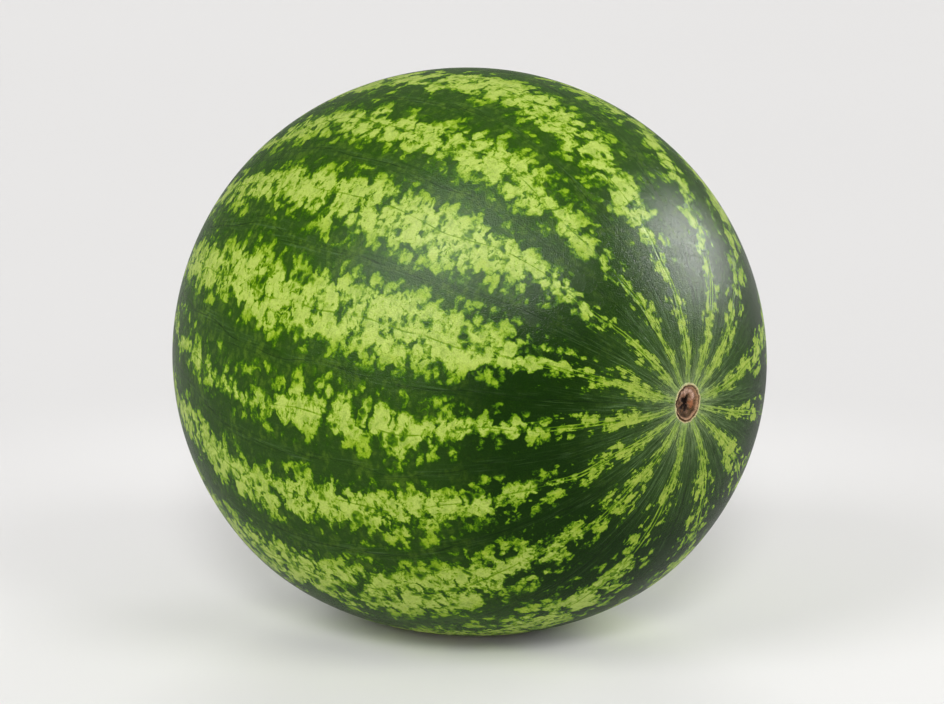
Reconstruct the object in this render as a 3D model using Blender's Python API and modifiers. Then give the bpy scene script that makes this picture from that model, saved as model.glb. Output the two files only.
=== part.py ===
"""A whole round watermelon, as picked, resting on its underside with the stem end towards +X.

Metres, +Z up. The origin is on the surface that the fruit rests on, under the middle of the fruit.
"""

import math

import bmesh
import bpy
from mathutils import Matrix, Vector

# Driving dimensions, in metres
EQUATOR_DIAMETER = 0.250
LENGTH = 0.265
FLAT_RADIUS = 0.020

# The underside has settled a little under the fruit's own weight. The settling starts this share of
# the equator's radius below the centre, and grows with the square of the depth below that.
SETTLE_START = 0.63
SETTLE_STRENGTH = 0.33

# The stem end: a shallow hollow in the skin, with the round corky scar of the stem in its middle
STEM_HOLLOW_RADIUS = 0.021
STEM_HOLLOW_DEPTH = 0.0016
STEM_SCAR_RADIUS = 0.0082
STEM_SCAR_DEPTH = 0.0012

# The blossom end lies off the long axis, because the fruit grew slightly bent. Its scar is a small dish.
BLOSSOM_DIRECTION = Vector((-1.0, -0.40, 0.26))
BLOSSOM_SCAR_RADIUS = 0.0045
BLOSSOM_SCAR_DEPTH = 0.0006

# Fineness of the mesh
SIDES = 60
RINGS = 26
SCAR_RINGS = 4
DISH_SIDES = 48
CLOSE_TO_AXIS = 0.0001

CUTTER_MARGIN = 0.02
EQUATOR_RADIUS = EQUATOR_DIAMETER / 2


def new_collection(name):
    collection = bpy.data.collections.new(name)
    bpy.context.scene.collection.children.link(collection)
    return collection


def new_material(name, colour, roughness, metallic):
    material = bpy.data.materials.new(name)
    material.use_nodes = True
    shader = material.node_tree.nodes["Principled BSDF"]
    shader.inputs["Base Color"].default_value = (*colour, 1.0)
    shader.inputs["Roughness"].default_value = roughness
    shader.inputs["Metallic"].default_value = metallic
    material.diffuse_color = (*colour, 1.0)
    return material


def hollow_at(radius):
    """How far the stem end's skin lies below the plain oval, at this radius from the long axis."""
    depth = 0.0
    if radius < STEM_HOLLOW_RADIUS:
        depth += STEM_HOLLOW_DEPTH * (1 - (radius / STEM_HOLLOW_RADIUS) ** 2) ** 2
    if radius < STEM_SCAR_RADIUS:
        depth += STEM_SCAR_DEPTH * (1 - (radius / STEM_SCAR_RADIUS) ** 4)
    return depth


def stem_end_radii():
    """Radii of the stem end's rings, from its centre out to the hollow's edge."""
    wall = STEM_HOLLOW_RADIUS - STEM_SCAR_RADIUS
    radii = [STEM_SCAR_RADIUS * step / SCAR_RINGS for step in range(SCAR_RINGS + 1)]
    radii += [STEM_SCAR_RADIUS + wall * step / SCAR_RINGS for step in range(1, SCAR_RINGS + 1)]
    return radii


def oval_drop(radius):
    """How far a unit oval's end has fallen away, at this radius from the long axis."""
    return 1 - math.sqrt(1 - (radius / EQUATOR_RADIUS) ** 2)


def stem_half_length():
    """The plain oval's half length whose hollowed end still reaches half of LENGTH at its crest."""
    half = LENGTH / 2
    return half + min(half * oval_drop(radius) + hollow_at(radius) for radius in stem_end_radii())


def outline():
    """The half outline of the fruit, from the stem end down its outer side to the blossom end."""
    stem_half = stem_half_length()
    points = [
        (radius, stem_half * (1 - oval_drop(radius)) - hollow_at(radius))
        for radius in stem_end_radii()
    ]
    first = math.asin(STEM_HOLLOW_RADIUS / EQUATOR_RADIUS)
    for ring in range(1, RINGS + 1):
        angle = first + (math.pi - first) * ring / RINGS
        half = stem_half if angle < math.pi / 2 else LENGTH / 2
        points.append((EQUATOR_RADIUS * math.sin(angle), half * math.cos(angle)))
    return points


def settled(height):
    """The height above the centre of a point of the plain oval, after the underside has settled."""
    depth = max(0.0, -height / EQUATOR_RADIUS - SETTLE_START)
    return height + EQUATOR_RADIUS * SETTLE_STRENGTH * depth**2


def rest_depth():
    """How far below the centre the resting plane cuts a round flat of the stated radius."""
    return -settled(-math.sqrt(EQUATOR_RADIUS**2 - FLAT_RADIUS**2))


def turned_body():
    """The fruit, turned about its long axis, laid along X and settled, with its centre at the origin."""
    profile = bpy.data.meshes.new("outline")
    corners = [(radius, 0.0, height) for radius, height in outline()]
    edges = [(corner, corner + 1) for corner in range(len(corners) - 1)]
    profile.from_pydata(corners, edges, [])
    turned = bpy.data.objects.new("outline", profile)
    bpy.context.scene.collection.objects.link(turned)
    screw = turned.modifiers.new("turn", "SCREW")
    screw.axis = "Z"
    screw.angle = math.tau
    screw.steps = SIDES
    screw.render_steps = SIDES
    screw.use_merge_vertices = True
    screw.merge_threshold = CLOSE_TO_AXIS
    graph = bpy.context.evaluated_depsgraph_get()
    mesh = bpy.data.meshes.new_from_object(turned.evaluated_get(graph))
    bpy.data.objects.remove(turned)
    mesh.name = "watermelon"

    body = bmesh.new()
    body.from_mesh(mesh)
    bmesh.ops.remove_doubles(body, verts=body.verts, dist=CLOSE_TO_AXIS)
    laid_along_x = Matrix.Rotation(math.pi / 2, 4, "Y")
    bmesh.ops.transform(body, matrix=laid_along_x, verts=body.verts)
    for vertex in body.verts:
        vertex.co.z = settled(vertex.co.z)
    bmesh.ops.recalc_face_normals(body, faces=body.faces)
    body.to_mesh(mesh)
    body.free()
    mesh.shade_smooth()
    return mesh


def new_cutter(name, shape, place):
    """A cutter object from a finished bmesh, at its place."""
    mesh = bpy.data.meshes.new(name)
    bmesh.ops.transform(shape, matrix=place, verts=shape.verts)
    shape.to_mesh(mesh)
    shape.free()
    cutter = bpy.data.objects.new(name, mesh)
    cutter.hide_render = True
    cutter.display_type = "WIRE"
    cutters.objects.link(cutter)
    return cutter


def rest_block():
    """A block whose top face is the resting plane."""
    block = bmesh.new()
    bmesh.ops.create_cube(block, size=1.0)
    size = (LENGTH + CUTTER_MARGIN, EQUATOR_DIAMETER + CUTTER_MARGIN, CUTTER_MARGIN)
    bmesh.ops.scale(block, vec=size, verts=block.verts)
    return new_cutter("rest_block", block, Matrix.Translation((0, 0, -CUTTER_MARGIN / 2)))


def blossom_lens():
    """A flat round lens, sunk halfway into the skin at the blossom end."""
    outward = BLOSSOM_DIRECTION.normalized()
    reach = 1 / math.sqrt(
        (outward.x / (LENGTH / 2)) ** 2 + (outward.y**2 + outward.z**2) / EQUATOR_RADIUS**2
    )
    spot = outward * reach
    normal = Vector((spot.x / (LENGTH / 2) ** 2, spot.y / EQUATOR_RADIUS**2, spot.z / EQUATOR_RADIUS**2))
    lens = bmesh.new()
    bmesh.ops.create_uvsphere(lens, u_segments=DISH_SIDES, v_segments=DISH_SIDES // 4, radius=1.0)
    size = (BLOSSOM_SCAR_RADIUS, BLOSSOM_SCAR_RADIUS, BLOSSOM_SCAR_DEPTH)
    bmesh.ops.scale(lens, vec=size, verts=lens.verts)
    turn = normal.to_track_quat("Z", "Y").to_matrix().to_4x4()
    spot_at_rest = spot + Vector((0, 0, rest_depth()))
    return new_cutter("blossom_lens", lens, Matrix.Translation(spot_at_rest) @ turn)


def cut(body, name, cutter):
    boolean = body.modifiers.new(name, "BOOLEAN")
    boolean.operation = "DIFFERENCE"
    boolean.solver = "EXACT"
    boolean.object = cutter


for old in list(bpy.data.objects):
    bpy.data.objects.remove(old, do_unlink=True)

parts = new_collection("watermelon")
cutters = new_collection("cutters")

watermelon = bpy.data.objects.new("watermelon", turned_body())
watermelon.location.z = rest_depth()
watermelon.data.materials.append(new_material("rind", (0.10, 0.22, 0.06), 0.42, 0.0))
parts.objects.link(watermelon)

cut(watermelon, "resting_spot", rest_block())
cut(watermelon, "blossom_scar", blossom_lens())
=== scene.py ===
import math

import bmesh
import bpy
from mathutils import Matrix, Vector, noise
from mathutils.bvhtree import BVHTree


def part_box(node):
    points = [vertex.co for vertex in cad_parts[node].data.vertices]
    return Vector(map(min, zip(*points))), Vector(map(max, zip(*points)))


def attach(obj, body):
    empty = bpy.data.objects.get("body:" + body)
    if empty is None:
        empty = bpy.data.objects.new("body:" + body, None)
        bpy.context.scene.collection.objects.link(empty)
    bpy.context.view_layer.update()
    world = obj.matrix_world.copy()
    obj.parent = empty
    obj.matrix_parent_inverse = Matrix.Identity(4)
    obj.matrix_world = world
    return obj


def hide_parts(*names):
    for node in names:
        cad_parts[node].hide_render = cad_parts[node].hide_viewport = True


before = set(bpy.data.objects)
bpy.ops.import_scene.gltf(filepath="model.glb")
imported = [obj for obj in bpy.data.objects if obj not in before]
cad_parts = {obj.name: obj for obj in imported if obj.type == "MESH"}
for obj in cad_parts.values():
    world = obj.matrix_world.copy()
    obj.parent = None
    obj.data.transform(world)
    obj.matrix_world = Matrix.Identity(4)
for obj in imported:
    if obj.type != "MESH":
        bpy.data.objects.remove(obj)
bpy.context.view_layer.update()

# ---------------------------------------------------------------------------------------------
# The camera: a long lens far back and a little above the fruit, with the stem end turned towards its
# right side. Its aim lies just off the fruit's middle.
# ---------------------------------------------------------------------------------------------
low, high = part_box("watermelon")
EQUATOR_RADIUS = (high.y - low.y) / 2
MIDDLE = Vector((0.0, 0.0, high.z - EQUATOR_RADIUS))

LENS_MM = 135.0
SENSOR_MM = 36.0
CAMERA_AZIMUTH = math.radians(46.98)
CAMERA_ELEVATION = math.radians(11.47)
CAMERA_DISTANCE = 12.30 * EQUATOR_RADIUS
AIM_RIGHT = 0.0147 * EQUATOR_RADIUS
AIM_UP = 0.0140 * EQUATOR_RADIUS

camera_back = Vector((
    math.sin(CAMERA_AZIMUTH) * math.cos(CAMERA_ELEVATION),
    -math.cos(CAMERA_AZIMUTH) * math.cos(CAMERA_ELEVATION),
    math.sin(CAMERA_ELEVATION),
))
camera_right = Vector((math.cos(CAMERA_AZIMUTH), math.sin(CAMERA_AZIMUTH), 0.0))
camera_up = camera_back.cross(camera_right)
camera_data = bpy.data.cameras.new("camera")
camera_data.lens = LENS_MM
camera_data.sensor_width = SENSOR_MM
camera = bpy.data.objects.new("camera", camera_data)
bpy.context.scene.collection.objects.link(camera)
camera.location = (
    MIDDLE + camera_right * AIM_RIGHT + camera_up * AIM_UP + camera_back * CAMERA_DISTANCE
)
camera.rotation_mode = "QUATERNION"
camera.rotation_quaternion = (-camera_back).to_track_quat("-Z", "Y")
bpy.context.scene.camera = camera

# ---------------------------------------------------------------------------------------------
# The rind: the fruit's hard waxy skin, grown as one closed oval. It is turned about the long axis, with
# a shallow hollow at the stem end, a dimple at the blossom end, and an underside that has settled flat
# where it rests.
# ---------------------------------------------------------------------------------------------
STEM_HALF = high.x + 0.0007
BLOSSOM_HALF = -low.x + 0.0003
RIND_RADIUS = EQUATOR_RADIUS + 0.0002
SETTLE_START = 0.63
SETTLE_STRENGTH = 0.33
STEM_HOLLOW_RADIUS = 0.021
STEM_HOLLOW_DEPTH = 0.0016
SCAR_HALF_WIDTH = 0.0075
SCAR_HALF_HEIGHT = 0.0084
SCAR_BED_DEPTH = 0.0028
RIND_SIDES = 400
STEM_RINGS = 44
BODY_RINGS = 180
STEM_ANGLE = math.radians(15)
LUMP_SIZE = 0.075
LUMP_DEPTH = 0.0006
CREASE_DEPTH = 0.00035
CREASE_FADE = 0.016
CREASE_START = 0.002
BLOSSOM = Vector((-1.0, -0.40, 0.26)).normalized()
BLOSSOM_DIMPLE_RADIUS = 0.010
BLOSSOM_DIMPLE_DEPTH = 0.0010


def rind_outline():
    """Points from the stem end to the blossom end, close together near the stem."""
    angles = [STEM_ANGLE * ring / STEM_RINGS for ring in range(STEM_RINGS)]
    rest = math.pi - STEM_ANGLE
    angles += [STEM_ANGLE + rest * ring / BODY_RINGS for ring in range(BODY_RINGS + 1)]
    for angle in angles:
        half = STEM_HALF if angle < math.pi / 2 else BLOSSOM_HALF
        yield half * math.cos(angle), RIND_RADIUS * math.sin(angle)


def from_scar(y, z):
    """Distance from the middle of the stem scar, where 1 is the scar's oval edge."""
    return math.hypot(y / SCAR_HALF_WIDTH, z / SCAR_HALF_HEIGHT)


def settled(height):
    """The underside's height once it has flattened under its own weight."""
    depth = max(0.0, -height / EQUATOR_RADIUS - SETTLE_START)
    return height + EQUATOR_RADIUS * SETTLE_STRENGTH * depth**2


def to_object(name, shape):
    """A smooth-shaded object from a finished bmesh."""
    mesh = bpy.data.meshes.new(name)
    shape.to_mesh(mesh)
    shape.free()
    mesh.shade_smooth()
    piece = bpy.data.objects.new(name, mesh)
    bpy.context.scene.collection.objects.link(piece)
    return piece


def turned(points, sides):
    """A bmesh of the (x, radius) points turned about the X axis, closed and facing outwards."""
    shape = bmesh.new()
    corners = [shape.verts.new((x, 0.0, radius)) for x, radius in points]
    lines = [shape.edges.new(pair) for pair in zip(corners, corners[1:])]
    bmesh.ops.spin(
        shape, geom=corners + lines, cent=(0, 0, 0), axis=(1, 0, 0), dvec=(0, 0, 0),
        angle=math.tau, steps=sides, use_merge=True, use_duplicate=False,
    )
    bmesh.ops.remove_doubles(shape, verts=shape.verts, dist=1e-6)
    bmesh.ops.recalc_face_normals(shape, faces=shape.faces)
    return shape


rind_shape = turned(rind_outline(), RIND_SIDES)
for vertex in rind_shape.verts:
    place = vertex.co.copy()
    half = STEM_HALF if place.x > 0 else BLOSSOM_HALF
    inward = -Vector((place.x / half**2, place.y / RIND_RADIUS**2, place.z / RIND_RADIUS**2))
    inward.normalize()
    depth = LUMP_DEPTH * (0.5 + 0.5 * noise.noise(place / LUMP_SIZE))
    radius = math.hypot(place.y, place.z)
    if place.x > 0 and radius < STEM_HOLLOW_RADIUS:
        depth += STEM_HOLLOW_DEPTH * (1 - (radius / STEM_HOLLOW_RADIUS) ** 2) ** 2
    from_rim = radius - SCAR_HALF_HEIGHT
    if place.x > 0 and from_rim > 0:
        around = Vector((place.y, place.z, 0.0)).normalized()
        fade = math.exp(-from_rim / CREASE_FADE) * min(1.0, from_rim / CREASE_START)
        creases = 1 + noise.noise(around * 5.0) + 0.5 * noise.noise(around * 11.0)
        depth += CREASE_DEPTH * fade * creases
    if place.x > 0 and from_scar(place.y, place.z) < 1:
        depth += SCAR_BED_DEPTH * (1 - from_scar(place.y, place.z) ** 8)
    outward = Vector((place.x / half, place.y / RIND_RADIUS, place.z / RIND_RADIUS))
    from_blossom = outward.normalized().angle(BLOSSOM) * EQUATOR_RADIUS
    depth += BLOSSOM_DIMPLE_DEPTH * math.exp(-((from_blossom / BLOSSOM_DIMPLE_RADIUS) ** 2))
    place += inward * depth
    place.z = settled(place.z)
    vertex.co = place + MIDDLE
    vertex.co.z = max(vertex.co.z, low.z)
rind = to_object("rind", rind_shape)
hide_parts("watermelon")
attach(rind, "root")

# The rind's colour follows how the fruit grew: lines run from the stem to the blossom, and every
# stripe, vein and streak is laid out by its place round and along those lines, in millimetres.
# Each light stripe has its middle, in degrees round the stem, and half its width, in hundredths of
# the distance from one stripe's middle to the next.
MM = 1000.0
STRIPE_CENTRES = (-153, -125, -104, -77, -46, -27, 1, 25, 46, 76, 100, 120, 145, 173)
STRIPE_HALF_WIDTHS = (35, 33, 35, 33, 34, 22, 34, 32, 35, 42, 23, 29, 38, 31)
STRIPES = len(STRIPE_CENTRES)
FULL_TURN = 360.0


def linear(red, green, blue):
    """A colour given as 0 to 255 screen values, in Blender's linear values."""
    return tuple(
        (c / 255 / 12.92 if c / 255 <= 0.04045 else ((c / 255 + 0.055) / 1.055) ** 2.4)
        for c in (red, green, blue)
    ) + (1.0,)


def new_material(name):
    material = bpy.data.materials.new(name)
    material.use_nodes = True
    return material, material.node_tree, material.node_tree.nodes["Principled BSDF"]


def add(tree, kind, inputs=(), **settings):
    """A node with its settings, and its inputs set or linked."""
    made = tree.nodes.new(kind)
    for name, value in settings.items():
        setattr(made, name, value)
    for name, value in dict(inputs).items():
        if isinstance(value, bpy.types.NodeSocket):
            tree.links.new(value, made.inputs[name])
        else:
            made.inputs[name].default_value = value
    return made


def calc(tree, operation, *values, clamp=False):
    inputs = dict(enumerate(values))
    return add(tree, "ShaderNodeMath", inputs, operation=operation, use_clamp=clamp).outputs[0]


def vector_calc(tree, operation, *values, out="Vector"):
    return add(tree, "ShaderNodeVectorMath", dict(enumerate(values)), operation=operation).outputs[out]


def scaled(tree, vector, factor):
    return add(
        tree, "ShaderNodeVectorMath", {"Vector": vector, "Scale": factor}, operation="SCALE"
    ).outputs["Vector"]


def cloud(tree, place, size, detail=1.0, roughness=0.5):
    """Soft noise about zero, mostly within 0.3 of it, with features of this size."""
    made = add(
        tree, "ShaderNodeTexNoise",
        {"Vector": place, "Scale": 1 / size, "Detail": detail, "Roughness": roughness},
    )
    return calc(tree, "SUBTRACT", made.outputs[0], 0.5)


def cells(tree, place, size, feature="F1"):
    """Distance to the middle of the nearest scattered cell of this size, or to its edge."""
    made = add(
        tree, "ShaderNodeTexVoronoi", {"Vector": place, "Scale": 1 / size}, feature=feature
    )
    return made.outputs["Distance"]


def ramp(tree, value, *stops):
    """A colour ramp; each stop is its place and its colour."""
    made = add(tree, "ShaderNodeValToRGB", {"Fac": value})
    while len(made.color_ramp.elements) < len(stops):
        made.color_ramp.elements.new(1.0)
    for element, (position, colour) in zip(made.color_ramp.elements, stops):
        element.position = position
        element.color = colour
    return made.outputs["Color"]


def between(tree, value, start, end, low_out=0.0, high_out=1.0):
    """A smooth step from low_out at start to high_out at end."""
    return add(
        tree, "ShaderNodeMapRange",
        {"Value": value, "From Min": start, "From Max": end, "To Min": low_out, "To Max": high_out},
        interpolation_type="SMOOTHSTEP",
    ).outputs["Result"]


def mix(tree, share, first, second):
    """The first colour, with this share of the second laid over it."""
    made = add(tree, "ShaderNodeMix", {0: share}, data_type="RGBA")
    for number, value in ((6, first), (7, second)):
        if isinstance(value, bpy.types.NodeSocket):
            tree.links.new(value, made.inputs[number])
        else:
            made.inputs[number].default_value = value
    return made.outputs[2]


def curve_of(tree, value, points):
    """A piecewise straight curve through points that lie between 0 and 1."""
    made = add(tree, "ShaderNodeFloatCurve", {"Value": value})
    curve = made.mapping.curves[0]
    while len(curve.points) < len(points):
        curve.points.new(0.5, 0.5)
    for point, (x, y) in zip(curve.points, points):
        point.location = (x, y)
        point.handle_type = "VECTOR"
    made.mapping.update()
    return made.outputs[0]


def growth_lines(tree):
    """Where a point lies on the growth lines: its place round the fruit as a direction and as a share
    of a turn, its angle from the stem, the sine of that angle, and how high it lies, from -1 to 1."""
    first = (Vector((0, 0, 1)) - BLOSSOM * BLOSSOM.z).normalized()
    second = first.cross(BLOSSOM)
    stem = Vector((1, 0, 0))
    stem_first = stem.dot(first) / (1 - stem.dot(BLOSSOM))
    stem_second = stem.dot(second) / (1 - stem.dot(BLOSSOM))
    scale = Vector((1 / STEM_HALF, 1 / EQUATOR_RADIUS, 1 / EQUATOR_RADIUS))
    place = add(tree, "ShaderNodeTexCoord").outputs["Object"]
    centred = add(
        tree, "ShaderNodeMapping",
        {"Vector": place, "Location": -MIDDLE * scale, "Scale": scale},
    ).outputs["Vector"]
    outward = vector_calc(tree, "NORMALIZE", centred)
    to_blossom = vector_calc(tree, "DOT_PRODUCT", outward, BLOSSOM, out="Value")
    nearness = calc(tree, "SUBTRACT", 1.0, to_blossom)
    one = vector_calc(tree, "DOT_PRODUCT", outward, first, out="Value")
    two = vector_calc(tree, "DOT_PRODUCT", outward, second, out="Value")
    one = calc(tree, "SUBTRACT", calc(tree, "DIVIDE", one, nearness), stem_first)
    two = calc(tree, "SUBTRACT", calc(tree, "DIVIDE", two, nearness), stem_second)
    flat = add(tree, "ShaderNodeCombineXYZ", {0: one, 1: two}).outputs[0]
    spread = vector_calc(tree, "LENGTH", flat, out="Value")
    turn = calc(tree, "MULTIPLY_ADD", calc(tree, "ARCTAN2", two, one), 1 / math.tau, 0.5)
    angle = calc(tree, "MULTIPLY", calc(tree, "ARCTANGENT", spread), 2.0)
    height = add(tree, "ShaderNodeSeparateXYZ", {0: outward}).outputs[2]
    return vector_calc(tree, "NORMALIZE", flat), turn, angle, calc(tree, "SINE", angle), height


def along_growth(tree, around, angle, sine, stretch):
    """A place in millimetres whose pattern is drawn out along the growth lines towards both ends: not at
    all for a stretch of 0, and to full streaks for 1."""
    width = calc(tree, "MULTIPLY", calc(tree, "POWER", sine, 1 - stretch), EQUATOR_RADIUS * MM)
    pull = 0.65 * stretch
    length = calc(tree, "MULTIPLY", calc(tree, "COSINE", angle), -pull)
    length = calc(tree, "MULTIPLY_ADD", angle, 1 - pull, length)
    length = calc(tree, "MULTIPLY", length, EQUATOR_RADIUS * MM)
    return vector_calc(
        tree, "ADD", scaled(tree, around, width),
        add(tree, "ShaderNodeCombineXYZ", {2: length}).outputs[0],
    )


rind_material, tree, shader = new_material("rind")
around, turn, angle, sine, upward = growth_lines(tree)
even = along_growth(tree, around, angle, sine, 0.15)
drawn = along_growth(tree, around, angle, sine, 0.45)
streaked = along_growth(tree, around, angle, sine, 0.95)
near_stem = between(tree, angle, 0.12, 0.75, 1.0, 0.0)

# Stripes: each light stripe's middle is a whole number of the phase, and each dark band's is a half.
sway = calc(tree, "MULTIPLY", cloud(tree, even, 60.0), 0.03)
swayed = calc(tree, "ADD", turn, sway)
shares = [(centre + 180) / FULL_TURN for centre in STRIPE_CENTRES]
marks = [(shares[-1] - 1, -1)] + list(zip(shares, range(STRIPES))) + [(shares[0] + 1, STRIPES)]
first_gap = (0 - marks[0][0]) / (marks[1][0] - marks[0][0])
last_gap = (1 - marks[-2][0]) / (marks[-1][0] - marks[-2][0])
phase_points = [(0.0, first_gap - 1)] + marks[1:-1] + [(1.0, STRIPES - 1 + last_gap)]
phase_points = [(x, (y + 1) / (STRIPES + 1)) for x, y in phase_points]
phase = calc(
    tree, "MULTIPLY_ADD", curve_of(tree, swayed, phase_points), STRIPES + 1.0, -1.0
)
across = calc(tree, "PINGPONG", phase, 0.5)
widths = [width / 100 for width in STRIPE_HALF_WIDTHS]
seam_width = (widths[0] + widths[-1]) / 2
width_points = [(0.0, seam_width)] + list(zip(shares, widths)) + [(1.0, seam_width)]
half_width = curve_of(tree, swayed, width_points)
taper = between(tree, angle, 0.05, 1.15, 0.15, 1.19)
taper = calc(tree, "SUBTRACT", taper, between(tree, angle, 1.2, 1.9, 0.0, 0.24))
half_width = calc(tree, "MULTIPLY", half_width, taper)
spacing = calc(tree, "MULTIPLY", sine, math.tau * EQUATOR_RADIUS * MM / STRIPES)
from_middle = calc(tree, "MULTIPLY", across, spacing)
inside = calc(tree, "MULTIPLY", calc(tree, "SUBTRACT", half_width, across), spacing)

# Lobes: the stripe's edge swells and shrinks but stays out of the dark band's heart, bays cut in
# towards its middle, and knobs and crumbs of smaller sizes roughen what is left.
bend = add(
    tree, "ShaderNodeTexNoise", {"Vector": drawn, "Scale": 1 / 5.0, "Detail": 2.0}
).outputs["Color"]
bend = vector_calc(tree, "SUBTRACT", bend, (0.5, 0.5, 0.5))
reach = between(tree, sine, 0.35, 0.9, 1.0, 0.6)
reach = add(tree, "ShaderNodeCombineXYZ", {0: reach, 1: reach, 2: 1.0}).outputs[0]
reaching = vector_calc(tree, "MULTIPLY", drawn, reach)
warped = vector_calc(tree, "ADD", reaching, scaled(tree, bend, 8.0))
slightly = vector_calc(tree, "ADD", reaching, scaled(tree, bend, 4.0))
swell = calc(tree, "MULTIPLY_ADD", cloud(tree, even, 26.0), 22.0, 2.6)
bay_edge = calc(tree, "MULTIPLY", cells(tree, warped, 14.0, feature="DISTANCE_TO_EDGE"), 14.0)
bay_reach = calc(tree, "MULTIPLY_ADD", cloud(tree, even, 22.0), 14.0, inside)
bay = calc(tree, "SUBTRACT", bay_edge, between(tree, bay_reach, -2.0, 14.0, 4.0, -1.5))
coast = calc(tree, "MULTIPLY", cloud(tree, slightly, 8.0, 4.0, 0.62), 16.0)
knobs = calc(tree, "MULTIPLY", calc(tree, "SUBTRACT", 0.50, cells(tree, slightly, 4.6)), 8.5)
knobs = calc(tree, "ADD", knobs, coast)
crumbs = calc(tree, "MULTIPLY", calc(tree, "SUBTRACT", 0.50, cells(tree, slightly, 2.2)), 3.4)
fray = calc(tree, "MULTIPLY", cloud(tree, drawn, 1.0, 1.0, 0.6), 2.6)
underside = between(tree, upward, 0.1, -0.4, 1.0, 1.8)
rough = calc(tree, "MULTIPLY_ADD", calc(tree, "ADD", crumbs, fray), underside, knobs)
lobe_scale = between(tree, sine, 0.05, 0.8, 0.25, 1.0)
inside = calc(tree, "MULTIPLY_ADD", swell, lobe_scale, inside)
heart = calc(tree, "MULTIPLY", calc(tree, "SUBTRACT", 0.40, across), spacing)
inside = calc(tree, "SMOOTH_MIN", inside, heart, 3.0)
bay = calc(tree, "ADD", between(tree, sine, 0.6, 0.05, 0.0, 6.0), bay)
lobed = calc(tree, "SMOOTH_MIN", inside, bay, 2.0)
calm = between(tree, inside, -6.0, 0.0, 0.15, 1.0)
rough_scale = between(tree, sine, 0.05, 0.55, 0.32, 1.0)
lobed = calc(tree, "MULTIPLY_ADD", rough, calc(tree, "MULTIPLY", rough_scale, calm), lobed)

# Dark specks of two sizes inside the lobes.
speck_gap = calc(tree, "MULTIPLY", cells(tree, warped, 6.0), 6.0)
speck_size = calc(tree, "MULTIPLY_ADD", cloud(tree, drawn, 12.0, 1.0), 10.0, 0.6)
speck = calc(tree, "MULTIPLY", calc(tree, "SUBTRACT", speck_gap, speck_size), 1.6)
lobed = calc(tree, "SMOOTH_MIN", lobed, speck, 1.5)
hole = cloud(tree, slightly, 2.4, 2.0, 0.65)
hole = calc(tree, "MULTIPLY_ADD", cloud(tree, drawn, 9.0, 1.0), 0.5, hole)
hole = calc(tree, "MULTIPLY_ADD", underside, -0.05, calc(tree, "ADD", hole, 0.24))
hole = calc(tree, "MULTIPLY", hole, 14.0)
lobed = calc(tree, "SMOOTH_MIN", lobed, hole, 0.8)

# Hairs: fine fibres along the growth lines, which also split the lobes close to the stem.
long_way = vector_calc(tree, "MULTIPLY", streaked, (1.0, 1.0, 0.07))
hairs = cloud(tree, long_way, 1.1, 2.0, 0.6)
strands = cloud(tree, long_way, 3.4, 2.0, 0.6)
splits = calc(tree, "MULTIPLY_ADD", strands, 5.5, calc(tree, "MULTIPLY", hairs, 9.0))
lobed = calc(tree, "MULTIPLY_ADD", splits, near_stem, lobed)
lobed = calc(tree, "MULTIPLY", lobed, calc(tree, "MULTIPLY_ADD", near_stem, 1.5, 1.0))
hairs = calc(tree, "MULTIPLY_ADD", strands, near_stem, hairs)

# Rays: close to the stem each light stripe shrinks to a pair of bright lines beside a dark vein.
ray_break = calc(tree, "MULTIPLY", cloud(tree, streaked, 5.0, 2.0), 2.0)
ray = calc(tree, "ABSOLUTE", calc(tree, "SUBTRACT", from_middle, 0.85))
ray = calc(tree, "SUBTRACT", calc(tree, "MULTIPLY_ADD", ray_break, 0.6, 0.26), ray)
ray = calc(tree, "MULTIPLY", ray, 7.0)
ray = calc(tree, "SUBTRACT", ray, between(tree, angle, 0.30, 1.1, 0.0, 5.0))
lobed = calc(tree, "MAXIMUM", lobed, ray)

# Veins: a fine dark line down the middle of each light stripe.
vein_sway = calc(tree, "MULTIPLY", cloud(tree, drawn, 22.0, 2.0), 3.0)
signed = calc(tree, "SUBTRACT", phase, calc(tree, "ROUND", phase))
vein_gap = calc(tree, "ABSOLUTE", calc(tree, "MULTIPLY_ADD", signed, spacing, vein_sway))
vein_strength = between(tree, cloud(tree, even, 16.0), -0.12, 0.08, 0.25, 1.0)
vein = calc(tree, "MULTIPLY", between(tree, vein_gap, 0.12, 0.8, 1.0, 0.0), vein_strength)
vein_depth = calc(tree, "MULTIPLY", vein, calc(tree, "MAXIMUM", lobed, 0.0))
lobed = calc(tree, "MULTIPLY_ADD", vein_depth, -0.85, lobed)

# Colour by depth into the light lobe, paler along the middle of the stripe than at its ragged edge. The
# dark bands are darker green towards the stem, with painted shade added on their lower side and
# underside, and a painted grey sheen close round the stem.
LOBE_MIDDLE = linear(177, 198, 92)
LOBE_NET = linear(116, 150, 46)
BAND_MOTTLE = linear(84, 117, 30)
BAND_STEM_DARK_SHADE = linear(16, 45, 0)
PAINTED_UNDERSIDE_SHADE = linear(22, 44, 12)
PAINTED_STEM_SHEEN = linear(50, 80, 38)
depth_share = calc(tree, "MULTIPLY_ADD", lobed, 1 / 14.0, 0.5, clamp=True)
skin = ramp(
    tree, depth_share,
    (0.10, linear(50, 80, 24)),
    (0.36, linear(44, 78, 12)),
    (0.44, linear(58, 100, 6)),
    (0.50, linear(88, 128, 10)),
    (0.56, linear(124, 160, 24)),
    (0.66, linear(148, 178, 44)),
    (0.90, linear(166, 186, 60)),
)
light_share = between(tree, lobed, 0.3, 2.5)
pale = calc(tree, "MULTIPLY_ADD", cloud(tree, drawn, 5.0, 2.0), 16.0, inside)
pale = between(tree, pale, 1.0, 12.0)
pale = calc(tree, "MAXIMUM", pale, calc(tree, "MULTIPLY", near_stem, 0.6))
pale = calc(tree, "MULTIPLY", pale, light_share)
skin = mix(tree, pale, skin, LOBE_MIDDLE)
net = between(tree, cloud(tree, slightly, 3.4, 3.0, 0.6), -0.05, 0.25)
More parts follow.
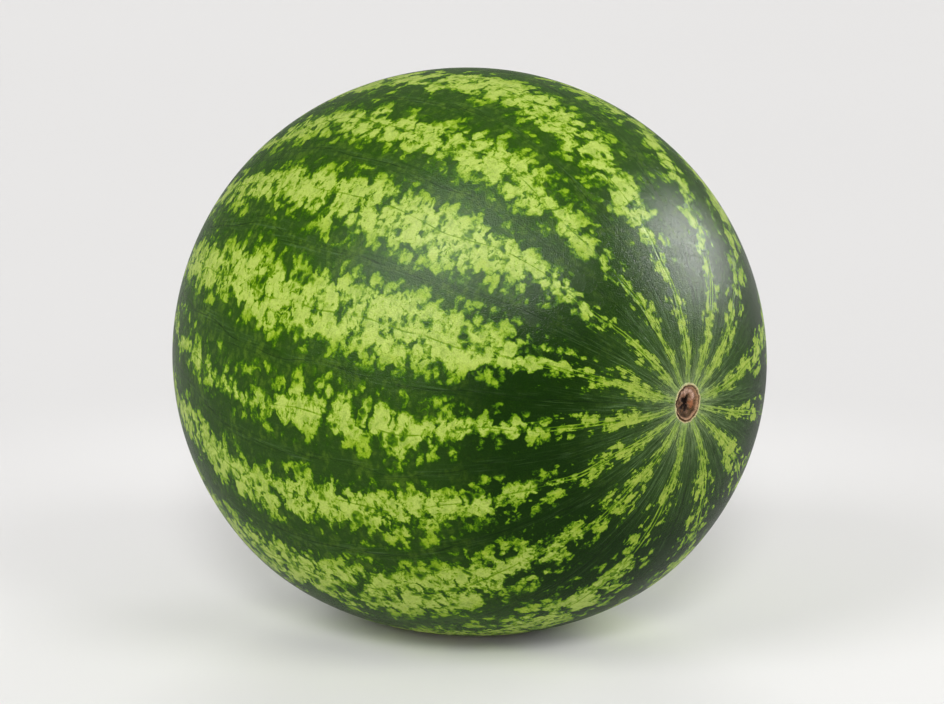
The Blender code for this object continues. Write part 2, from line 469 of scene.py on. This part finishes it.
net = calc(tree, "MULTIPLY", calc(tree, "MULTIPLY", net, light_share), 0.75)
skin = mix(tree, net, skin, LOBE_NET)
patches = calc(tree, "MULTIPLY_ADD", cells(tree, slightly, 2.8), -0.45, 0.20)
patches = calc(tree, "ADD", cloud(tree, warped, 8.0, 4.0, 0.65), patches)
dark_share = between(tree, lobed, -2.5, -0.4, 1.0, 0.0)
mottle = calc(tree, "MULTIPLY", between(tree, patches, -0.10, 0.25), dark_share)
mottle = calc(tree, "MULTIPLY", mottle, calc(tree, "MULTIPLY_ADD", near_stem, -0.4, 0.76))
skin = mix(tree, mottle, skin, BAND_MOTTLE)
# The dark bands darken in a ring round the stem. This darkening is kept weak on top and full low down,
# which is painted shade.
stem_dark_shade = between(tree, angle, 0.25, 0.55, 0.0, 0.9)
stem_dark_shade = calc(tree, "MULTIPLY", between(tree, angle, 1.15, 0.75), stem_dark_shade)
stem_dark_shade = calc(tree, "MULTIPLY", stem_dark_shade, between(tree, upward, 0.6, 0.1, 0.35, 1.0))
skin = mix(tree, calc(tree, "MULTIPLY", stem_dark_shade, dark_share), skin, BAND_STEM_DARK_SHADE)
# Painted shade: the dark bands are darkened on the underside, where less light falls.
shaded = calc(tree, "MULTIPLY", between(tree, upward, 0.4, -0.1, 0.0, 0.28), dark_share)
skin = mix(tree, shaded, skin, PAINTED_UNDERSIDE_SHADE)
# Painted sheen: close round the stem the dark bands are lifted towards a pale grey-green, standing in for
# the shine's haze.
painted_sheen = calc(tree, "MULTIPLY", between(tree, angle, 0.5, 0.1, 0.0, 0.5), dark_share)
skin = mix(tree, painted_sheen, skin, PAINTED_STEM_SHEEN)

# The middle of each dark band has its own vein, in a bundle of fine lighter and darker hairs.
HAIR_LIGHT = linear(92, 122, 74)
HAIR_DARK = linear(16, 36, 12)
VEIN_DARK = linear(12, 28, 8)
dark_signed = calc(tree, "SUBTRACT", calc(tree, "FRACT", phase), 0.5)
dark_vein_gap = calc(tree, "ABSOLUTE", calc(tree, "MULTIPLY_ADD", dark_signed, spacing, vein_sway))
dark_vein = between(tree, dark_vein_gap, 0.08, 0.45, 1.0, 0.0)
bundle = between(tree, dark_vein_gap, 1.0, 6.0, 1.0, 0.15)
bundle = calc(tree, "MAXIMUM", bundle, near_stem)
bundle = calc(tree, "MULTIPLY", bundle, dark_share)
hair_light = calc(tree, "MULTIPLY", between(tree, hairs, 0.02, 0.22), bundle)
hair_share = calc(tree, "MULTIPLY_ADD", stem_dark_shade, -0.2, 0.32)
hair_share = calc(tree, "MULTIPLY_ADD", near_stem, 0.42, hair_share)
skin = mix(tree, calc(tree, "MULTIPLY", hair_light, hair_share), skin, HAIR_LIGHT)
hair_dark = calc(tree, "MULTIPLY", between(tree, hairs, -0.02, -0.2), bundle)
skin = mix(tree, calc(tree, "MULTIPLY", hair_dark, 0.45), skin, HAIR_DARK)
vein_shade = calc(tree, "MULTIPLY", dark_vein, dark_share)
vein_shade = calc(tree, "MULTIPLY", vein_shade, calc(tree, "MULTIPLY", vein_strength, 0.5))
skin = mix(tree, vein_shade, skin, VEIN_DARK)

# Pale haze just round the stem scar, fading out over about a centimetre.
HAZE_PALE = linear(158, 178, 124)
haze = calc(tree, "MULTIPLY", calc(tree, "SUBTRACT", angle, 0.066), -13.0)
haze = calc(tree, "EXPONENT", haze)
haze = calc(tree, "MULTIPLY", haze, calc(tree, "MULTIPLY_ADD", hairs, 1.9, 0.55), clamp=True)
skin = mix(tree, haze, skin, HAZE_PALE)

# The ground spot: the yellowish patch the fruit lay on, bleached for want of sun.
GROUND_YELLOW = linear(186, 184, 104)
ground_gap = scaled(tree, add(tree, "ShaderNodeTexCoord").outputs["Object"], MM)
ground_gap = vector_calc(tree, "LENGTH", ground_gap, out="Value")
ground_gap = calc(tree, "MULTIPLY_ADD", cloud(tree, even, 16.0, 4.0, 0.6), 36.0, ground_gap)
bleached = calc(tree, "MULTIPLY", between(tree, ground_gap, 46.0, 22.0), 0.8)
skin = mix(tree, bleached, skin, GROUND_YELLOW)

# Fine grain over the whole skin.
grain = cloud(tree, even, 0.8, 2.0, 0.7)
grain_gain = calc(tree, "MULTIPLY_ADD", near_stem, -0.10, 0.93)
grain_gain = calc(tree, "MULTIPLY_ADD", grain, 0.8, grain_gain)
skin = scaled(tree, skin, grain_gain)
tree.links.new(skin, shader.inputs["Base Color"])

# The wax: a soft uneven shine, strongest on the upper shoulder beside the stem.
LEAST_GLOSS = 0.08
SHOULDER_EXTRA_GLOSS = 0.27
roughness = calc(tree, "MULTIPLY_ADD", cloud(tree, even, 12.0, 2.0), 0.2, 0.25)
tree.links.new(roughness, shader.inputs["Roughness"])
waxy = calc(tree, "MULTIPLY", between(tree, angle, 0.95, 0.6), between(tree, upward, 0.1, 0.4))
gloss = calc(tree, "MULTIPLY_ADD", waxy, SHOULDER_EXTRA_GLOSS, LEAST_GLOSS)
tree.links.new(gloss, shader.inputs["Specular IOR Level"])

# Relief: fine pits all over, raised hairs in the bundles and sunk veins.
pits = cloud(tree, even, 0.8, 2.0, 0.6)
relief = calc(tree, "MULTIPLY_ADD", hairs, calc(tree, "MULTIPLY", bundle, 0.13), pits)
veins = calc(tree, "MULTIPLY", calc(tree, "MULTIPLY_ADD", dark_vein, 0.3, vein), 0.3)
relief = calc(tree, "SUBTRACT", relief, veins)
bump = add(tree, "ShaderNodeBump", {"Height": relief, "Strength": 0.6, "Distance": 0.0004})
tree.links.new(bump.outputs["Normal"], shader.inputs["Normal"])
rind.data.materials.append(rind_material)

# ---------------------------------------------------------------------------------------------
# The stem scar: the dry corky disc left where the stalk came away, sunk into the hollow at the stem
# end. It has a thin double rim, folded fibres inside it, a star-shaped pit and one loose chip.
# ---------------------------------------------------------------------------------------------
SCAR_SIDES = 200
SCAR_RINGS = 64
SCAR_BACK = -0.0034
SCAR_SINK = 0.00105
FOLD_HEIGHT = 0.00042
FIBRE_DEPTH = 0.0004
PIT_DEPTH = 0.0013
CHIP_HEIGHT = 0.0011
LIP_HEIGHT = 0.0013
RIM_HEIGHT = 0.00085
RIM_WAVE = 0.00028
CORK_ROUGHNESS = 0.85
CORK_GLOSS = 0.2
DISC_EDGE_HEIGHT = -0.00055
rim_skin = [
    vertex.co.x for vertex in rind.data.vertices
    if vertex.co.x > 0 and 1.02 < from_scar(vertex.co.y, vertex.co.z - MIDDLE.z) < 1.12
]
SCAR_LEVEL = sum(rim_skin) / len(rim_skin)


def bell(value, centre, width):
    """A smooth hump, 1 at its centre."""
    return math.exp(-(((value - centre) / width) ** 2))


def scar_relief(share, turn):
    """Height of the scar above the skin round it, by the share of the way out and the turn about it."""
    side, up = share * math.cos(turn), share * math.sin(turn)
    ring = Vector((math.cos(turn), math.sin(turn), 0.0))
    folds = noise.fractal(Vector((side, up, 0.0)) * 3.2 + Vector((5, 1, 2)), 0.7, 2.1, 4)
    fibres = abs(noise.noise(ring * 5.0 + Vector((0, 0, share * 1.5))))
    height = -SCAR_SINK + FOLD_HEIGHT * folds - FIBRE_DEPTH * fibres * share
    height += 0.00025 * up
    arms = 0.31 + 0.13 * math.cos(5 * turn + 0.6) + 0.20 * noise.noise(ring * 1.7)
    pit = 1 / (1 + math.exp((share - arms) / 0.07))
    height -= PIT_DEPTH * pit * (0.75 + 0.6 * abs(noise.noise(Vector((side, up, 3.0)) * 6.0)))
    chip = math.exp(-(((side - 0.34) / 0.17) ** 2) - (((up + 0.10) / 0.22) ** 2))
    height += CHIP_HEIGHT * chip * (1 + 0.4 * noise.noise(Vector((side, up, 8.0)) * 9.0))
    wave = 1 + 0.5 * noise.noise(ring * 2.6) + 0.4 * noise.noise(ring * 7.0)
    inner_lip = 0.82 + 0.03 * noise.noise(ring * 3.0 + Vector((0, 0, 4)))
    height += LIP_HEIGHT * wave * bell(share, inner_lip, 0.07)
    lift = min(1.0, max(0.0, (share - 0.86) / 0.08))
    return height + lift * (RIM_HEIGHT + RIM_WAVE * wave)


def closed_disc(sides, rings, half_width, half_height, relief, back, place_at):
    """A closed bmesh disc: a front shaped by relief(share, turn), a rounded edge and a flat back."""
    outline = [(0.0, ring / rings) for ring in range(rings + 1)]
    outline += [(DISC_EDGE_HEIGHT, 1.04), (back * 0.6, 1.03), (back, 0.94), (back, 0.45), (back, 0.0)]
    shape = turned(outline, sides)
    for vertex in shape.verts:
        height, side, up = vertex.co
        if height > back * 0.55:
            height += relief(min(1.0, math.hypot(side, up)), math.atan2(up, side))
        vertex.co = place_at(half_width * side, half_height * up, height)
    bmesh.ops.recalc_face_normals(shape, faces=shape.faces)
    return shape


def at_stem(side, up, height):
    """A place at this height above the skin round the stem scar."""
    return Vector((SCAR_LEVEL + height, side, MIDDLE.z + up))


scar_shape = closed_disc(
    SCAR_SIDES, SCAR_RINGS, SCAR_HALF_WIDTH, SCAR_HALF_HEIGHT, scar_relief, SCAR_BACK, at_stem
)
stem_scar = to_object("stem_scar", scar_shape)
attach(stem_scar, "root")

scar_material, tree, shader = new_material("stem_scar")
place = add(tree, "ShaderNodeTexCoord").outputs["Object"]
place = add(
    tree, "ShaderNodeMapping",
    {"Vector": place, "Location": Vector((-SCAR_LEVEL, 0, -MIDDLE.z)) * MM, "Scale": (MM, MM, MM)},
).outputs["Vector"]
axes = add(tree, "ShaderNodeSeparateXYZ", {0: place})
level, side, up = axes.outputs[0], axes.outputs[1], axes.outputs[2]
oval = add(tree, "ShaderNodeCombineXYZ", {
    0: calc(tree, "DIVIDE", side, SCAR_HALF_WIDTH * MM),
    1: calc(tree, "DIVIDE", up, SCAR_HALF_HEIGHT * MM),
}).outputs[0]
share = vector_calc(tree, "LENGTH", oval, out="Value")
share_wavy = calc(tree, "MULTIPLY_ADD", cloud(tree, place, 2.2, 2.0), 0.10, share)
tone = calc(tree, "MULTIPLY_ADD", up, 0.045, 0.5)
tone = calc(tree, "MULTIPLY_ADD", cloud(tree, place, 2.4, 3.0, 0.65), 1.1, tone)
flesh = ramp(
    tree, tone,
    (0.15, linear(46, 33, 20)), (0.40, linear(104, 80, 54)), (0.60, linear(154, 116, 90)),
    (0.85, linear(224, 190, 170)),
)
rust = between(tree, cloud(tree, place, 1.6, 2.0), 0.02, 0.2)
flesh = mix(tree, calc(tree, "MULTIPLY", rust, 0.35), flesh, linear(134, 78, 50))
# Painted shade: the deepest parts of the scar, down in its pit, are darkened almost to black.
sunk = calc(tree, "ADD", cloud(tree, place, 0.7, 2.0, 0.7), level)
flesh = mix(tree, between(tree, sunk, -1.0, -1.9), flesh, linear(34, 20, 14))
chip_gap = vector_calc(tree, "SUBTRACT", place, (0.0, 2.6, -0.8))
chip_gap = vector_calc(tree, "MULTIPLY", chip_gap, (0.0, 1.0, 0.7))
chip_gap = vector_calc(tree, "LENGTH", chip_gap, out="Value")
chip_gap = calc(tree, "MULTIPLY_ADD", cloud(tree, place, 1.0, 2.0), 2.0, chip_gap)
chip = between(tree, chip_gap, 0.9, 1.5, 1.0, 0.0)
flesh = mix(tree, calc(tree, "MULTIPLY", chip, 0.7), flesh, linear(166, 104, 66))
rim = ramp(
    tree, share_wavy,
    (0.70, linear(112, 82, 56)), (0.79, linear(176, 138, 104)), (0.85, linear(40, 26, 16)),
    (0.90, linear(120, 92, 56)), (0.95, linear(214, 200, 152)), (1.0, linear(170, 176, 124)),
)
skin = mix(tree, between(tree, share_wavy, 0.66, 0.78), flesh, rim)
spokes = vector_calc(tree, "MULTIPLY", vector_calc(tree, "NORMALIZE", oval), (9.0, 9.0, 9.0))
fibre = cloud(tree, spokes, 0.9, 3.0, 0.7)
skin = scaled(tree, skin, calc(tree, "MULTIPLY_ADD", fibre, 1.8, 1.0))
skin = scaled(tree, skin, calc(tree, "MULTIPLY_ADD", cloud(tree, place, 0.35, 2.0, 0.7), 1.2, 1.0))
tree.links.new(skin, shader.inputs["Base Color"])
shader.inputs["Roughness"].default_value = CORK_ROUGHNESS
shader.inputs["Specular IOR Level"].default_value = CORK_GLOSS
bump = add(tree, "ShaderNodeBump", {
    "Height": cloud(tree, place, 0.5, 3.0, 0.7), "Strength": 0.8, "Distance": 0.0004,
})
tree.links.new(bump.outputs["Normal"], shader.inputs["Normal"])
stem_scar.data.materials.append(scar_material)

# ---------------------------------------------------------------------------------------------
# The blossom scar: the small round of dry brown cork where the flower dropped off, lying in its dimple
# at the far end of the growth lines.
# ---------------------------------------------------------------------------------------------
BLOSSOM_SCAR_RADIUS = 0.0045
BLOSSOM_SIDES = 120
BLOSSOM_RINGS = 30
BLOSSOM_BACK = -0.0012
PROBE_HEIGHT = 0.01
rind_tree = BVHTree.FromPolygons(
    [vertex.co for vertex in rind.data.vertices], [face.vertices for face in rind.data.polygons]
)
far_point = MIDDLE + BLOSSOM * 2 * EQUATOR_RADIUS
blossom_spot, blossom_normal, _, _ = rind_tree.ray_cast(far_point, -BLOSSOM)
blossom_side = Vector((0, 0, 1)).cross(blossom_normal).normalized()
blossom_up = blossom_normal.cross(blossom_side)


def at_blossom(side, up, height):
    """A place at this height above the skin, this far across and up from the blossom scar's middle."""
    above = blossom_spot + blossom_side * side + blossom_up * up + blossom_normal * PROBE_HEIGHT
    skin_point, _, _, _ = rind_tree.ray_cast(above, -blossom_normal)
    return skin_point + blossom_normal * height


def blossom_relief(share, turn):
    """Height above the skin, with a low ring near the edge and a nub where the flower was."""
    ring = Vector((math.cos(turn), math.sin(turn), 0.0))
    folds = noise.fractal(ring * share * 3.0 + Vector((2, 7, 1)), 0.7, 2.1, 4)
    height = 0.00012 + 0.00016 * folds * (1 - share**4)
    height += 0.00035 * bell(share, 0.72 + 0.04 * noise.noise(ring * 2.0), 0.10)
    return height + 0.0005 * bell(share, 0.0, 0.16) - 0.00012 * share**6


blossom_shape = closed_disc(
    BLOSSOM_SIDES, BLOSSOM_RINGS, BLOSSOM_SCAR_RADIUS, BLOSSOM_SCAR_RADIUS, blossom_relief,
    BLOSSOM_BACK, at_blossom,
)
blossom_scar = to_object("blossom_scar", blossom_shape)
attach(blossom_scar, "root")

blossom_material, tree, shader = new_material("blossom_scar")
place = add(tree, "ShaderNodeTexCoord").outputs["Object"]
place = add(
    tree, "ShaderNodeMapping", {"Vector": place, "Location": -blossom_spot * MM, "Scale": (MM, MM, MM)},
).outputs["Vector"]
share = vector_calc(tree, "LENGTH", place, out="Value")
share = calc(tree, "DIVIDE", share, BLOSSOM_SCAR_RADIUS * MM)
share = calc(tree, "MULTIPLY_ADD", cloud(tree, place, 1.4, 3.0, 0.65), 0.35, share)
skin = ramp(
    tree, share,
    (0.05, linear(62, 42, 28)), (0.25, linear(120, 92, 62)), (0.50, linear(86, 62, 42)),
    (0.72, linear(150, 122, 84)), (0.90, linear(112, 96, 60)), (1.0, linear(138, 140, 88)),
)
skin = scaled(tree, skin, calc(tree, "MULTIPLY_ADD", cloud(tree, place, 0.4, 3.0, 0.7), 1.3, 1.0))
tree.links.new(skin, shader.inputs["Base Color"])
shader.inputs["Roughness"].default_value = CORK_ROUGHNESS
shader.inputs["Specular IOR Level"].default_value = CORK_GLOSS
bump = add(tree, "ShaderNodeBump", {
    "Height": cloud(tree, place, 0.5, 3.0, 0.7), "Strength": 0.7, "Distance": 0.0003,
})
tree.links.new(bump.outputs["Normal"], shader.inputs["Normal"])
blossom_scar.data.materials.append(blossom_material)

# ---------------------------------------------------------------------------------------------
# The studio: a plain matt pale floor with a painted pool of light, paler close to the fruit, in a pale
# room. The fruit has a broad key lamp, a fill, an edge and a back lamp, and three lamps that give it only
# its shine; the floor has a ring of six lamps of its own, so that the fruit's shadow stays soft and
# close.
# ---------------------------------------------------------------------------------------------
FLOOR_RADIUS = 40.0
PALE = 0.80
ROOM = 0.26
MIRRORED_BEHIND = 0.22
MIRRORED_LEAST = 0.01
FLOOR_GAP = 0.0002
POOL_FADE_START = 0.25
POOL_FADE_END = 0.52
BEYOND_POOL_SHARE = 0.865
MIRRORED_DIMMING = -0.45
floor_shape = bmesh.new()
bmesh.ops.create_circle(floor_shape, cap_ends=True, radius=FLOOR_RADIUS, segments=96)
bmesh.ops.translate(floor_shape, verts=floor_shape.verts, vec=(0, 0, low.z - FLOOR_GAP))
floor = to_object("floor", floor_shape)
floor_material, tree, shader = new_material("floor")
place = add(tree, "ShaderNodeTexCoord").outputs["Object"]
shade = ramp(
    tree, calc(tree, "ADD", cloud(tree, place, 0.8), 0.5),
    (0.2, (0.787, 0.778, 0.772, 1)), (0.8, (0.797, 0.788, 0.782, 1)),
)
from_fruit = vector_calc(tree, "LENGTH", place, out="Value")
# Painted light: the floor's colour is paler in a pool round the fruit and fades to a lower share beyond
# it.
shade = scaled(tree, shade, between(tree, from_fruit, POOL_FADE_START, POOL_FADE_END, 1.0, BEYOND_POOL_SHARE))
glossy_ray = add(tree, "ShaderNodeLightPath").outputs["Is Glossy Ray"]
shade = scaled(tree, shade, calc(tree, "MULTIPLY_ADD", glossy_ray, MIRRORED_DIMMING, 1.0))
tree.links.new(shade, shader.inputs["Base Color"])
shader.inputs["Roughness"].default_value = 0.9
shader.inputs["Specular IOR Level"].default_value = 0.0
floor.data.materials.append(floor_material)


def soft_light(name, azimuth, elevation, spread, strength, only, gloss=False):
    """A distant soft lamp this many degrees wide, placed round the fruit from the camera's direction. It
    reaches these pieces only, as if flagged off the rest, and gives either their gloss or their light."""
    a = CAMERA_AZIMUTH + math.radians(azimuth)
    e = math.radians(elevation)
    back = Vector((math.sin(a) * math.cos(e), -math.cos(a) * math.cos(e), math.sin(e)))
    data = bpy.data.lights.new(name, "SUN")
    data.angle = math.radians(spread)
    data.energy = strength
    lamp = bpy.data.objects.new(name, data)
    lamp.visible_diffuse = not gloss
    lamp.visible_glossy = gloss
    bpy.context.scene.collection.objects.link(lamp)
    lamp.rotation_mode = "QUATERNION"
    lamp.rotation_quaternion = back.to_track_quat("Z", "Y")
    lit = bpy.data.collections.new(name + " lights")
    for piece in only:
        lit.objects.link(piece)
    lamp.light_linking.receiver_collection = lit


fruit = (rind, stem_scar, blossom_scar)
for name, azimuth, elevation, spread, strength in (
    ("key", -29, 41, 70, 2.75),
    ("fill", 88, 6, 80, 1.6),
    ("edge", 116, 34, 30, 1.2),
    ("back", 180, 35, 90, 0.3),
):
    soft_light(name, azimuth, elevation, spread, strength, fruit)
for name, azimuth, elevation, spread, strength in (
    ("key_sheen_low", -38, 37, 28, 4.7),
    ("key_sheen_high", -12, 61, 28, 6.6),
    ("edge_sheen", 116, 23, 19, 2.2),
):
    soft_light(name, azimuth, elevation, spread, strength, fruit, gloss=True)
for name, azimuth, elevation, spread, strength in (
    ("floor_low", 0, 18, 14, 0.8),
    ("floor_front", 0, 32, 14, 1.36),
    ("floor_left", -50, 36, 30, 1.1),
    ("floor_right", 50, 36, 30, 0.96),
    ("floor_side", 130, 20, 24, 0.78),
    ("floor_back", 180, 20, 24, 1.28),
):
    soft_light(name, azimuth, elevation, spread, strength, (floor,))

# The room: pale to the eye, dimmer as light, and nearly dark in the fruit's shine except behind it.
world = bpy.data.worlds.new("studio")
bpy.context.scene.world = world
world.use_nodes = True
tree = world.node_tree
sky = tree.nodes["Background"]
direction = add(tree, "ShaderNodeTexCoord").outputs["Generated"]
front = Vector((camera_back.x, camera_back.y, 0.0)).normalized()
facing = vector_calc(tree, "DOT_PRODUCT", direction, front, out="Value")
behind = calc(tree, "MAXIMUM", calc(tree, "MULTIPLY", facing, -1.0), 0.0)
mirrored = calc(tree, "MULTIPLY_ADD", behind, MIRRORED_BEHIND, MIRRORED_LEAST)
rays = add(tree, "ShaderNodeLightPath")
glossy = rays.outputs["Is Glossy Ray"]
seen = rays.outputs["Is Camera Ray"]
room = calc(tree, "MULTIPLY_ADD", glossy, calc(tree, "SUBTRACT", mirrored, ROOM), ROOM)
room = calc(tree, "MULTIPLY_ADD", seen, calc(tree, "SUBTRACT", PALE, room), room)
tree.links.new(room, sky.inputs["Strength"])
sky.inputs["Color"].default_value = (1.0, 0.992, 0.984, 1.0)
bpy.context.scene.view_settings.view_transform = "Standard"
